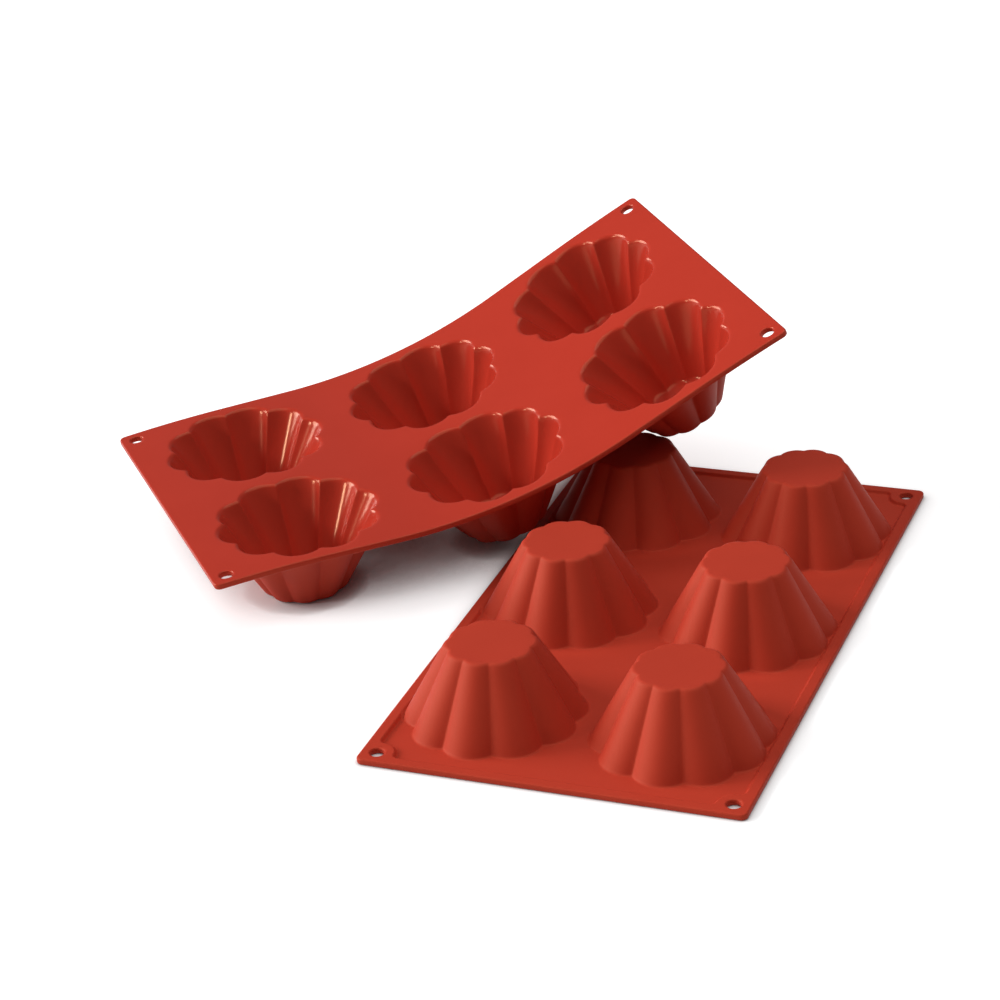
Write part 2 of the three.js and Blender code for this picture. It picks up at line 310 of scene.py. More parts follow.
@dataclass(frozen=True)
class MouldPlan:
    """One mould laid flat: where its cups and the lines that it flexes on are."""

    cup: CupSizes = CupSizes()
    sheet: SheetSizes = SheetSizes()

    @property
    def pitch_along(self) -> float:
        """From one column of cups to the next."""
        return 2 * self.cup.mouth_crest + self.sheet.land_along

    @property
    def pitch_across(self) -> float:
        """From one row of cups to the next."""
        return 2 * self.cup.mouth_crest + self.sheet.land_across

    @property
    def end_reach(self) -> float:
        """From the sheet's end to the middle of the nearest cup."""
        return self.sheet.end_margin + self.cup.mouth_crest

    @property
    def length(self) -> float:
        """The sheet's length."""
        return (self.sheet.columns - 1) * self.pitch_along + 2 * self.end_reach

    @property
    def width(self) -> float:
        """The sheet's width."""
        return (self.sheet.rows - 1) * self.pitch_across + 2 * (self.cup.mouth_crest + self.sheet.side_margin)

    @property
    def floor_depth(self) -> float:
        """How deep a cup is inside."""
        return self.cup.height - self.cup.floor_thickness

    def cup_middle(self, column: int, row: int) -> np.ndarray:
        """The middle of one cup's mouth, in the sheet's plane."""
        across = ((self.sheet.rows - 1) / 2 - row) * self.pitch_across
        return np.array([self.end_reach + column * self.pitch_along, across])

    def flex_along(self, web: int) -> float:
        """How far along the sheet a flex line is."""
        return self.end_reach + (web + 1 / 2) * self.pitch_along

    def flex_marks(self, web: int) -> np.ndarray:
        """Divides the stretch of sheet that bends at a flex line.

        Args:
            web: The flex line's number along the sheet.

        Returns:
            Distances along the sheet.
        """
        reach = self.sheet.flex_reach
        return self.flex_along(web) + np.arange(-reach, reach + NEAR, self.sheet.flex_step)

    def wall_share(self, depth: float) -> float:
        """How far down a cup's wall a depth is, from 0 under the sheet to 1 at the foot."""
        return (depth - self.sheet.thickness) / (self.cup.height - self.sheet.thickness)

    def crest_at(self, depth: float) -> float:
        """A cup's outer crest radius at a depth below the sheet's top face."""
        return self.cup.mouth_crest + (self.cup.floor_crest - self.cup.mouth_crest) * self.wall_share(depth)

    def flute_depth_at(self, depth: float) -> float:
        """How deep the flutes are at a depth below the sheet's top face."""
        share = min(1.0, max(0.0, self.wall_share(depth)))
        return self.cup.mouth_flute_depth + (self.cup.floor_flute_depth - self.cup.mouth_flute_depth) * share


# --------------------------------------------------------------------------------------------------
# Drawing in millimetres
# --------------------------------------------------------------------------------------------------


def arc(centre: Sequence[float], radius: float, start: float, end: float, steps: int) -> np.ndarray:
    """Draws an arc in a plane, both ends included.

    Args:
        centre: The arc's middle.
        radius: The arc's radius.
        start: The first direction in radians.
        end: The last direction in radians.
        steps: How many chords it has.

    Returns:
        The arc's points, in order.
    """
    turn = np.linspace(start, end, steps + 1)
    return np.array(centre) + radius * np.stack([np.cos(turn), np.sin(turn)], axis=1)


def rounded(
    corners: Sequence[tuple[float, float]], rounds: Sequence[float], steps: int, spacing: float
) -> np.ndarray:
    """Rounds the inner corners of an open profile and divides its straight runs.

    Args:
        corners: The profile's sharp corners, with its two ends.
        rounds: One radius for each inner corner.
        steps: How many chords each round has.
        spacing: The longest run that isn't divided.

    Returns:
        The profile's points, in order.
    """
    points = np.array(corners, dtype=float)
    runs = [points[:1]]
    for before, corner, after, radius in zip(points, points[1:], points[2:], rounds):
        back = (before - corner) / np.linalg.norm(before - corner)
        ahead = (after - corner) / np.linalg.norm(after - corner)
        half = math.acos(back @ ahead) / 2
        centre = corner + (back + ahead) / np.linalg.norm(back + ahead) * radius / math.sin(half)
        start = math.atan2(*(corner + back * radius / math.tan(half) - centre)[::-1])
        sweep = math.pi - 2 * half
        turning = back[1] * ahead[0] - back[0] * ahead[1]
        runs.append(arc(centre, radius, start, start + math.copysign(sweep, turning), steps))
    runs.append(points[-1:])
    profile = [runs[0]]
    for run in runs[1:]:
        start, end = profile[-1][-1], run[0]
        count = max(1, math.ceil(np.linalg.norm(end - start) / spacing))
        shares = np.linspace(0, 1, count + 1)[1:-1, None]
        profile.extend([start + shares * (end - start), run])
    return np.concatenate(profile)


def holds(loop: np.ndarray, points: np.ndarray) -> np.ndarray:
    """Tells which points are inside a closed loop.

    Args:
        loop: The loop's points, in order.
        points: The points to test.

    Returns:
        One truth value for each point.
    """
    inside = np.zeros(len(points), dtype=bool)
    for start, end in zip(loop, np.roll(loop, -1, axis=0)):
        crosses = (start[1] > points[:, 1]) != (end[1] > points[:, 1])
        rise = end[1] - start[1] or NEAR
        inside ^= crosses & (points[:, 0] < start[0] + (points[:, 1] - start[1]) / rise * (end[0] - start[0]))
    return inside


def search_tree(places: np.ndarray) -> KDTree:
    """Makes a tree that finds the nearest of many places in the sheet's plane.

    Args:
        places: The places, with or without their heights.

    Returns:
        The tree.
    """
    tree = KDTree(len(places))
    for number, place in enumerate(places):
        tree.insert((place[0], place[1], 0.0), number)
    tree.balance()
    return tree


class Drawing:
    """One piece as it is drawn on the flat mould: points, and faces with their finish."""

    def __init__(self) -> None:
        """Starts with no point and no face."""
        self.points = np.zeros((0, 3))
        self.faces: list[list[int]] = []
        self.finishes: list[int] = []

    def add_points(self, points: np.ndarray) -> np.ndarray:
        """Adds points.

        Args:
            points: Their places on the flat mould.

        Returns:
            Their numbers.
        """
        first = len(self.points)
        self.points = np.concatenate([self.points, points])
        return np.arange(first, len(self.points))

    def add_face(self, corners: Sequence[int], face: Face) -> None:
        """Adds one face, with its corners counterclockwise from outside."""
        self.faces.append([int(c) for c in corners])
        self.finishes.append(face.value)

    def add_band(self, first: np.ndarray, second: np.ndarray, face: Face) -> None:
        """Joins two closed rings, the first one outermost or on top as seen from outside."""
        for a, b, c, d in zip(first, np.roll(first, -1), np.roll(second, -1), second):
            self.add_face([a, b, c, d], face)

    def to_object(
        self, name: str, placed: np.ndarray, materials: Sequence[bpy.types.Material]
    ) -> bpy.types.Object:
        """Makes the drawn piece.

        Args:
            name: The piece's name.
            placed: Each point's place in the frame, in metres.
            materials: The finishes, in the order of Face.

        Returns:
            The new object, in the scene.
        """
        mesh = bpy.data.meshes.new(name)
        mesh.from_pydata(placed.tolist(), [], self.faces)
        for material in materials:
            mesh.materials.append(material)
        mesh.polygons.foreach_set("material_index", self.finishes)
        flat = mesh.attributes.new(FLAT_PLACE, "FLOAT_VECTOR", "POINT")
        flat.data.foreach_set("vector", self.points.astype(np.float32).ravel())
        mesh.shade_smooth()
        mesh.set_sharp_from_angle(angle=SHARP_ANGLE)
        mesh.update()
        piece = bpy.data.objects.new(name, mesh)
        bpy.context.scene.collection.objects.link(piece)
        return piece


class SheetEdge:
    """The sheet's outline, the inner edge of its rim with the corner pads, and its holes, all laid flat."""

    def __init__(self, plan: MouldPlan) -> None:
        """Works out where the rim's inner edge meets a corner pad.

        Args:
            plan: The mould, laid flat.
        """
        self.plan, self.sheet = plan, plan.sheet
        sheet = self.sheet
        self.pad = np.full(2, sheet.hole_inset)
        level = sheet.rim_width + sheet.pad_blend
        aside = math.sqrt((sheet.pad_radius + sheet.pad_blend) ** 2 - (level - sheet.hole_inset) ** 2)
        self.blend = np.array([sheet.hole_inset + aside, level])

    def side_marks(self) -> tuple[np.ndarray, np.ndarray]:
        """Divides half a long side, finely at its flex line, and half an end.

        Returns:
            Distances from a corner along the side, and along the end.
        """
        sheet, half_length, half_width = self.sheet, self.plan.length / 2, self.plan.width / 2
        along = np.linspace(0, half_length, math.ceil(half_length / sheet.side_step) + 1)
        straight = np.abs(along - self.plan.flex_along(0)) > sheet.flex_reach + NEAR
        along = np.concatenate([along[straight], self.plan.flex_marks(0)])
        return np.sort(along), np.linspace(0, half_width, math.ceil(half_width / sheet.side_step) + 1)

    def close(self, quarter: np.ndarray) -> np.ndarray:
        """Turns a quarter of a loop into the whole of it.

        Args:
            quarter: Distances from the nearest end and side, from the middle of a side to that of an end.

        Returns:
            The loop's points in the sheet's plane, counterclockwise.
        """
        length, half = self.plan.length, self.plan.width / 2
        corners = []
        for far, left, order in ((1, -1, 1), (1, 1, -1), (0, 1, 1), (0, -1, -1)):
            points = quarter if order > 0 else quarter[-2:0:-1]
            x = length - points[:, 0] if far else points[:, 0]
            corners.append(np.stack([x, left * (half - points[:, 1])], axis=1))
        return np.concatenate(corners)

    def loop(self, corner: np.ndarray, level: float, reach: float) -> np.ndarray:
        """Draws a loop along the sheet's sides and ends and round its corners.

        Args:
            corner: The points round one corner, from its side to its end.
            level: How far in from the sides and ends the loop is.
            reach: How far along the sides and ends the corner's points go.

        Returns:
            The loop's points in the sheet's plane, counterclockwise.
        """
        along, across = (marks[marks > reach + self.sheet.corner_clear] for marks in self.side_marks())
        side = np.stack([along[::-1], np.full(len(along), level)], axis=1)
        end = np.stack([np.full(len(across), level), across], axis=1)
        return self.close(np.concatenate([side, corner, end]))

    def outline(self, inset: float) -> np.ndarray:
        """Draws the sheet's outline.

        Args:
            inset: How far it is moved in.

        Returns:
            The loop's points in the sheet's plane, counterclockwise.
        """
        radius, steps = self.sheet.corner, self.sheet.arc_steps
        corner = arc((radius, radius), radius - inset, -np.pi / 2, -np.pi, steps)
        return self.loop(corner, inset, radius)

    def rim_edge(self, offset: float) -> np.ndarray:
        """Draws the inner edge of the rim and the pads.

        Args:
            offset: How far it is moved in.

        Returns:
            The loop's points in the sheet's plane, counterclockwise.
        """
        sheet = self.sheet
        to_pad = self.pad - self.blend
        turn = math.atan2(to_pad[1], to_pad[0]) % (2 * np.pi) - 2 * np.pi
        blend = arc(self.blend, sheet.pad_blend - offset, -np.pi / 2, turn, sheet.arc_steps)
        pad = arc(self.pad, sheet.pad_radius + offset, turn + np.pi, np.pi / 4, sheet.arc_steps)
        half = np.concatenate([blend, pad[1:]])
        corner = np.concatenate([half, half[-2::-1, ::-1]])
        return self.loop(corner, sheet.rim_width + offset, self.blend[0])

    def holes(self, radius: float) -> list[np.ndarray]:
        """Draws the four corner holes.

        Args:
            radius: Their radius.

        Returns:
            One loop for each hole.
        """
        length, half = self.plan.length, self.plan.width / 2
        loops = []
        for along in (self.sheet.hole_inset, length - self.sheet.hole_inset):
            for across in (self.sheet.hole_inset - half, half - self.sheet.hole_inset):
                loops.append(arc((along, across), radius, 0, 2 * np.pi, self.sheet.hole_steps)[:-1])
        return loops

    def rim_offset(self, points: np.ndarray) -> np.ndarray:
        """Measures how far inside the rim's inner edge points are.

        Args:
            points: Points in the sheet's plane.

        Returns:
            A distance for each point, below 0 on the rim and the pads.
        """
        sheet = self.sheet
        near = np.stack(
            [
                np.minimum(points[:, 0], self.plan.length - points[:, 0]),
                self.plan.width / 2 - np.abs(points[:, 1]),
            ],
            axis=1,
        )
        from_rim = near.min(axis=1) - sheet.rim_width
        offset = np.minimum(from_rim, np.linalg.norm(near - self.pad, axis=1) - sheet.pad_radius)
        for order in (1, -1):
            away = near[:, ::order] - self.blend
            to_pad = self.pad - self.blend
            share = away[:, 0] / to_pad[0]
            drop = share * to_pad[1] - away[:, 1]
            between = (share >= 0) & (drop >= 0)
            offset = np.where(between, sheet.pad_blend - np.linalg.norm(away, axis=1), offset)
        return offset

    def underside(self, points: np.ndarray) -> np.ndarray:
        """Finds the height of the sheet's underside: lower on the rim and the pads.

        Args:
            points: Points in the sheet's plane.

        Returns:
            A height for each point.
        """
        sheet = self.sheet
        share = np.clip((self.rim_offset(points) / sheet.rim_slope + 1) / 2, 0, 1)
        return -sheet.edge_height + sheet.rim_drop * share * share * (3 - 2 * share)


# --------------------------------------------------------------------------------------------------
# How a mould is bent and placed
# --------------------------------------------------------------------------------------------------


class SheetLine:
    """The line that the middle of a sheet's top face follows along its length."""

    steps = 300

    def __init__(self, length: float, slope: np.ndarray, bank: np.ndarray) -> None:
        """Follows the sheet's slope from its first end.

        Args:
            length: The sheet's length in millimetres.
            slope: The slope in radians at both ends of each step.
            bank: The bank in radians at both ends of each step.
        """
        self.marks = np.linspace(0, length, self.steps + 1)
        self.slope, self.bank = slope, bank
        middle = (slope[1:] + slope[:-1]) / 2
        ahead = np.stack([np.cos(middle), np.zeros(self.steps), np.sin(middle)], axis=1) * length / self.steps
        self.stations = np.concatenate([np.zeros((1, 3)), np.cumsum(ahead, axis=0)])

    def frames(self, distance: np.ndarray) -> tuple[np.ndarray, np.ndarray, np.ndarray, np.ndarray]:
        """Finds how the sheet lies at distances along it.

        Args:
            distance: Distances from the sheet's first end.

        Returns:
            Points on the line, and the directions along, across and up from the sheet there.
        """
        origin = np.stack([np.interp(distance, self.marks, axis) for axis in self.stations.T], axis=1)
        slope = np.interp(distance, self.marks, self.slope)
        bank = np.interp(distance, self.marks, self.bank)[:, None]
        level = np.zeros_like(slope)
        along = np.stack([np.cos(slope), level, np.sin(slope)], axis=1)
        upright = np.stack([-np.sin(slope), level, np.cos(slope)], axis=1)
        side = np.array([0.0, 1.0, 0.0])
        across = np.cos(bank) * side + np.sin(bank) * upright
        return origin, along, across, np.cos(bank) * upright - np.sin(bank) * side

    def bend(self, points: np.ndarray) -> np.ndarray:
        """Carries points of the flat mould to the bent one."""
        origin, _, across, up = self.frames(points[:, 0])
        return origin + across * points[:, 1:2] + up * points[:, 2:3]


@dataclass(frozen=True)
class Lean:
    """How the upper mould is bent: angles in degrees and a length in millimetres."""

    heading: float = 42.1
    standing_slope: float = 1.2
    standing_droop: float = 4.1
    raised_droop: float = 2.6
    standing_bank: float = 0.1
    twist: float = 3.4
    bend_span: float = 120.0

    def line(self, plan: MouldPlan, raised_slope: float) -> SheetLine:
        """Bends a sheet so that its raised cups have a given slope.

        Args:
            plan: The mould, laid flat.
            raised_slope: The slope of the raised cups in radians.

        Returns:
            The line that the sheet follows.
        """
        marks = np.linspace(0, plan.length, SheetLine.steps + 1)
        standing = math.radians(self.standing_slope)
        bent = np.clip((marks - (plan.length - self.bend_span) / 2) / self.bend_span, 0, 1)
        first_end = np.clip(1 - marks / plan.end_reach, 0, 1)
        last_end = np.clip(1 - (plan.length - marks) / plan.end_reach, 0, 1)
        droop = math.radians(self.standing_droop) * first_end - math.radians(self.raised_droop) * last_end
        slope = standing + (raised_slope - standing) * bent + droop
        bank = math.radians(self.standing_bank) + math.radians(self.twist) * marks / plan.length
        return SheetLine(plan.length, slope, bank)


def packed_joint(name: str) -> dict:
    """Finds one of the frame's joints by its name."""
    return next(joint for joint in frame["joints"] if joint["name"] == name)


@dataclass(frozen=True)
class Placing:
    """Where a mould is: its bent line, and the turn and shift that take it into the frame."""

    line: SheetLine
    turn: np.ndarray
    shift: np.ndarray

    def __call__(self, points: np.ndarray) -> np.ndarray:
        """Moves bent points in millimetres to the frame, in metres."""
        return points @ self.turn.T * MM + self.shift

    @classmethod
    def upside_down(cls, plan: MouldPlan) -> "Placing":
        """Lays a mould flat on the table with its cups up and its length along the frame's Y.

        Args:
            plan: The mould, laid flat.

        Returns:
            The lower mould's place.
        """
        flat = np.zeros(SheetLine.steps + 1)
        turn = np.array([[0.0, -1.0, 0.0], [-1.0, 0.0, 0.0], [0.0, 0.0, -1.0]])
        return cls(SheetLine(plan.length, flat, flat), turn, np.array([0.0, plan.length / 2 * MM, 0.0]))

    @classmethod
    def leaning(cls, plan: MouldPlan, lean: Lean) -> "Placing":
        """Bends and places a mould as the frame's joints say that the upper one is.

        Args:
            plan: The mould, laid flat.
            lean: How it is bent.

        Returns:
            The upper mould's place.
        """
        heading = math.radians(lean.heading)
        turn = np.array(
            [
                [math.cos(heading), -math.sin(heading), 0.0],
                [math.sin(heading), math.cos(heading), 0.0],
                [0.0, 0.0, 1.0],
            ]
        )
        up = turn.T @ np.array(packed_joint("upper_raised_near_push")["axis"])
        line = lean.line(plan, math.atan2(-up[0], up[2]))
        first_flex = line.bend(np.array([[plan.flex_along(0), 0.0, 0.0]]))[0]
        shift = np.array(packed_joint("upper_middle_flex")["pos_m"]) - turn @ first_flex * MM
        return cls(line, turn, shift)


# --------------------------------------------------------------------------------------------------
# The mouldings
# --------------------------------------------------------------------------------------------------


class Cups:
    """The fluted cups of a mould, each with the narrow ring of sheet round its mouth."""

    def __init__(self, plan: MouldPlan, edge: SheetEdge) -> None:
        """Draws the two profiles that every cup shares, along the crest of a flute.

        Args:
            plan: The mould, laid flat.
            edge: The edge of its sheet.
        """
        cup, sheet = plan.cup, plan.sheet
        self.plan, self.edge = plan, edge
        self.inside = rounded(
            [
                (cup.seam_crest, 0),
                (plan.crest_at(0) - cup.wall, 0),
                (plan.crest_at(plan.floor_depth) - cup.wall, -plan.floor_depth),
                (0, -plan.floor_depth),
            ],
            [cup.mouth_round, cup.corner_round],
            cup.round_steps,
            cup.ring_step,
        )
        self.outside = rounded(
            [
                (cup.seam_crest, -sheet.thickness),
                (cup.mouth_crest, -sheet.thickness),
                (cup.floor_crest, -cup.height),
                (0, -cup.height),
            ],
            [cup.root_round, cup.foot_round],
            cup.round_steps,
            cup.ring_step,
        )

    def seam(self, column: int, row: int) -> np.ndarray:
        """Draws the loop where a cup's ring meets the rest of the sheet."""
        cup = self.plan.cup
        return cup.loop(cup.seam_crest, cup.mouth_flute_depth) + self.plan.cup_middle(column, row)

    def ring(self, radius: float, height: float, wall: float, middle: np.ndarray) -> np.ndarray:
        """Draws the ring at one point of a profile.

        Args:
            radius: The profile's radius there.
            height: The profile's height there.
            wall: How far the profile's wall is inside the outer one.
            middle: The middle of the cup's mouth.

        Returns:
            The ring's points on the flat mould.
        """
        fade = min(1.0, radius / (self.plan.crest_at(-height) - wall))
        loop = self.plan.cup.loop(radius, self.plan.flute_depth_at(-height) * fade) + middle
        return np.column_stack([loop, np.full(len(loop), height)])

    def draw(self, column: int, row: int) -> Drawing:
        """Draws one cup as a closed shell.

        Args:
            column: The cup's column.
            row: The cup's row.

        Returns:
            The drawing, on the flat mould.
        """
        drawing, middle = Drawing(), self.plan.cup_middle(column, row)
        walls = {Face.INSIDE: (self.inside, self.plan.cup.wall), Face.OUTSIDE: (self.outside, 0.0)}
        seams = []
        for face, (profile, wall) in walls.items():
            rings = []
            for radius, height in profile[:-1]:
                points = self.ring(radius, height, wall, middle)
                if face is Face.OUTSIDE:
                    points[:, 2] = np.minimum(points[:, 2], self.edge.underside(points[:, :2]))
                rings.append(drawing.add_points(points))
            tip = drawing.add_points(np.array([[*middle, profile[-1][1]]]))[0]
            order = slice(None) if face is Face.INSIDE else slice(None, None, -1)
            for outer, inner in zip(rings, rings[1:]):
                drawing.add_band(outer[order], inner[order], face)
            for a, b in zip(rings[-1][order], np.roll(rings[-1][order], -1)):
                drawing.add_face([a, b, tip], face)
            seams.append(rings[0])
        drawing.add_band(seams[1], seams[0], Face.OUTSIDE)
        return drawing

    def bend(self, points: np.ndarray, column: int, row: int, line: SheetLine) -> np.ndarray:
        """Bends a flat cup: its mouth goes with the sheet and its floor keeps its shape.

        Args:
            points: The cup's points on the flat mould.
            column: The cup's column.
            row: The cup's row.
            line: The line that the sheet follows.

        Returns:
            The bent points.
        """
        middle = np.append(self.plan.cup_middle(column, row), 0.0)
        origin, along, across, up = (value[0] for value in line.frames(middle[:1]))
        rigid = origin + across * middle[1] + (points - middle) @ np.stack([along, across, up])
        first, last = self.plan.sheet.edge_height, self.plan.floor_depth
        share = np.clip((-points[:, 2:3] - first) / (last - first), 0, 1)
        return line.bend(points) * (1 - share) + rigid * share


class Deck:
    """The sheet between the cups, in two halves that meet across the middle of the sheet."""

    def __init__(self, plan: MouldPlan, edge: SheetEdge, cups: Cups) -> None:
        """Lays out the triangles of both faces once, for every mould.

        Args:
            plan: The mould, laid flat.
            edge: The edge of its sheet.
            cups: Its cups.
        """
        self.plan, self.edge, self.sheet = plan, edge, plan.sheet
        self.seams = [cups.seam(c, r) for c in range(self.sheet.columns) for r in range(self.sheet.rows)]
        self.middle = plan.length / 2
        self.top = self.lay_out(*self.loops(under=False), under=False)
        self.under = self.lay_out(*self.loops(under=True), under=True)

    def on_face(self, places: np.ndarray, under: bool) -> np.ndarray:
        """Gives places in the sheet's plane their heights on its underside or its top."""
        heights = self.edge.underside(places) if under else np.zeros(len(places))
        return np.column_stack([places, heights])

    def edge_rounds(self) -> list[tuple[float, float]]:
        """Divides the rounded edge of a face, and guards it with one more step on the face.

        Returns:
            How far in from the edge and how far from the face each step is.
        """
        radius = self.sheet.edge_round
        turns = np.linspace(0, np.pi / 2, self.sheet.round_steps + 1)
        rounds = [(radius * (1 - math.cos(t)), radius * (1 - math.sin(t))) for t in turns]
        return rounds + [(radius + self.sheet.guard, 0.0)]

    def loops(self, under: bool) -> tuple[list[np.ndarray], list[np.ndarray]]:
        """Draws the loops of one face of the sheet.

        Args:
            under: Whether the face is the underside, which has the rim and the pads.

        Returns:
            The loops that bound the face, and the ones that shape its edges and its rim.
        """
        sheet, bounds, shapes = self.sheet, [], []
        for step, (inset, depth) in enumerate(self.edge_rounds()):
            height = depth - sheet.edge_height if under else -depth
            for loop in (self.edge.outline(inset), *self.edge.holes(sheet.hole_radius + inset)):
                (shapes if step else bounds).append(np.column_stack([loop, np.full(len(loop), height)]))
        bounds.extend(self.on_face(loop, under) for loop in self.seams)
        if under:
            slopes = sheet.rim_slope * np.linspace(-1, 1, 2 * sheet.round_steps - 1)
            guard = sheet.rim_slope + sheet.guard
            shapes.extend(self.on_face(self.edge.rim_edge(o), under) for o in (-guard, *slopes, guard))
        return bounds, shapes

    def grid(self, under: bool, loops: Sequence[np.ndarray]) -> np.ndarray:
        """Spreads points over a face: evenly, and more closely along the lines that flex.

        Args:
            under: Whether the face is the underside.
            loops: The loops that the points stay clear of.

        Returns:
            The points, with their heights.
        """
        sheet, half = self.sheet, self.plan.width / 2
        tree = search_tree(np.concatenate(loops))
        even = np.linspace(0, self.plan.length, 2 * math.ceil(self.middle / sheet.grid_step) + 1)
        flex = np.concatenate([self.plan.flex_marks(web) for web in range(sheet.columns - 1)])
        points = []
        for marks, step, clear in (
            (even, sheet.grid_step, sheet.grid_step / 2),
            (flex, sheet.flex_spread, sheet.flex_clear),
        ):
            for x in marks:
                for y in np.arange(-half, half, step) + step / 2:
                    if tree.find((x, y, 0.0))[2] > clear:
                        points.append((x, y))
        points = np.unique(np.round(np.array(points), NEAR_DIGITS), axis=0)
        from_end = np.minimum(points[:, 0], self.plan.length - points[:, 0])
        from_side = half - np.abs(points[:, 1])
        return self.on_face(points[(from_end > sheet.edge_clear) & (from_side > sheet.edge_clear)], under)

    def lay_out(
        self, bounds: Sequence[np.ndarray], shapes: Sequence[np.ndarray], under: bool
    ) -> tuple[np.ndarray, np.ndarray]:
        """Fills one face with triangles.

        Args:
            bounds: The loops that bound the face: its outline, its holes and its seams with the cups.
            shapes: Loops inside the face that shape its edges.
            under: Whether the face is the underside.

        Returns:
            The points and the triangles, counterclockwise from above.
        """
        points, edges, count = [], [], 0
        near_cups = search_tree(np.concatenate(self.seams))
        for loop in bounds:
            numbers = np.arange(count, count + len(loop))
            edges.append(np.stack([numbers, np.roll(numbers, -1)], axis=1))
            points.append(loop)
            count += len(loop)
        for loop in shapes:
            clear = np.array([near_cups.find((x, y, 0.0))[2] > self.sheet.seam_clear for x, y, _ in loop])
            for seam in self.seams:
                clear &= ~holds(seam, loop[:, :2])
            numbers = np.where(clear, count + np.cumsum(clear) - 1, -1)
            pairs = np.stack([numbers, np.roll(numbers, -1)], axis=1)
            edges.append(pairs[(pairs >= 0).all(axis=1)])
            points.append(loop[clear])
            count += int(clear.sum())
        points.append(self.grid(under, [*bounds, *shapes]))
        points = np.concatenate(points)
        edges.append(self.middle_edges(points))
        corners = [Vector(point) for point in points[:, :2]]
        fixed = [tuple(map(int, edge)) for edge in np.concatenate(edges)]
        places, _, faces, sources, _, _ = delaunay_2d_cdt(corners, fixed, [], 0, NEAR)
        flat = np.array([tuple(place) for place in places])
        heights = np.array([points[numbers[0], 2] if numbers else np.nan for numbers in sources])
        made = np.isnan(heights)
        heights[made] = self.on_face(flat[made], under)[:, 2]
        triangles = np.array([list(face) for face in faces])
        middles = flat[triangles].mean(axis=1)
        kept = holds(bounds[0][:, :2], middles)
        for loop in bounds[1:]:
            kept &= ~holds(loop[:, :2], middles)
        return np.column_stack([flat, heights]), triangles[kept]

    def middle_edges(self, points: np.ndarray) -> np.ndarray:
        """Joins the points on the line where the two halves meet, but not across the cups.

        Args:
            points: All points of a face.

        Returns:
            The numbers of the two points of each edge.
        """
        on_line = np.flatnonzero(np.abs(points[:, 0] - self.middle) < NEAR)
        on_line = on_line[np.argsort(points[on_line, 1])]
        pairs = np.stack([on_line[:-1], on_line[1:]], axis=1)
        middles = points[pairs, :2].mean(axis=1)
        for seam in self.seams:
            pairs, middles = pairs[~holds(seam, middles)], middles[~holds(seam, middles)]
        return pairs

    def draw(self, last_half: bool) -> Drawing:
        """Draws one half of the sheet as a closed shell.

        Args:
            last_half: Whether it is the half furthest along the sheet.

        Returns:
            The drawing, on the flat mould.
        """
        drawing = Drawing()
        numbers = []
        for face, (points, triangles) in ((Face.INSIDE, self.top), (Face.OUTSIDE, self.under)):
            half = triangles[(points[triangles, 0].mean(axis=1) > self.middle) == last_half]
            used, corners = np.unique(half, return_inverse=True)
            added = drawing.add_points(points[used])
            for triangle in added[corners.reshape(-1, 3)]:
                drawing.add_face(triangle if face is Face.INSIDE else triangle[::-1], face)
            numbers.append((added, added[corners.reshape(-1, 3)]))
        below = {self.key(drawing.points[n]): n for n in numbers[1][0]}
        for a, b in self.open_edges(numbers[0][1]):
            if not self.on_middle(drawing.points[[a, b]]):
                under_a, under_b = (below[self.key(drawing.points[n])] for n in (a, b))
                drawing.add_face([a, under_a, under_b, b], Face.OUTSIDE)
        self.close_middle(drawing, numbers[0][1], numbers[1][1], last_half)
        return drawing

    def close_middle(self, drawing: Drawing, top: np.ndarray, under: np.ndarray, last_half: bool) -> None:
        """Closes a half where it meets the other one, one face for each stretch of land.

        Args:
            drawing: The half's drawing.
            top: The triangles of its top face.
            under: The triangles of its underside.
            last_half: Whether it is the half furthest along the sheet.
        """
        chains = []
        for triangles in (top, under):
            edges = [e for e in self.open_edges(triangles) if self.on_middle(drawing.points[list(e)])]
            edges = [sorted(e, key=lambda n: drawing.points[n][1]) for e in edges]
            edges.sort(key=lambda e: drawing.points[e[0]][1])
            stretches = []
            for a, b in edges:
                if stretches and stretches[-1][-1] == a:
                    stretches[-1].append(b)
                else:
                    stretches.append([a, b])
            chains.append(stretches)
        for above, below in zip(*chains):
            corners = above[::-1] + below
            drawing.add_face(corners[::-1] if last_half else corners, Face.OUTSIDE)

    def on_middle(self, points: np.ndarray) -> bool:
        """Tells whether points are all on the line where the halves meet."""
        return bool((np.abs(points[:, 0] - self.middle) < ON_LINE).all())

    @staticmethod
    def key(point: np.ndarray) -> tuple[float, float]:
        """Names a place in the sheet's plane, to match the two faces' edges."""
        return round(float(point[0]), MATCH_DIGITS), round(float(point[1]), MATCH_DIGITS)

    @staticmethod
    def open_edges(triangles: np.ndarray) -> list[tuple[int, int]]:
        """Finds the edges that only one triangle has, in that triangle's order."""
        edges = {(int(t[i]), int(t[(i + 1) % 3])) for t in triangles for i in range(3)}
        return sorted(edge for edge in edges if edge[::-1] not in edges)


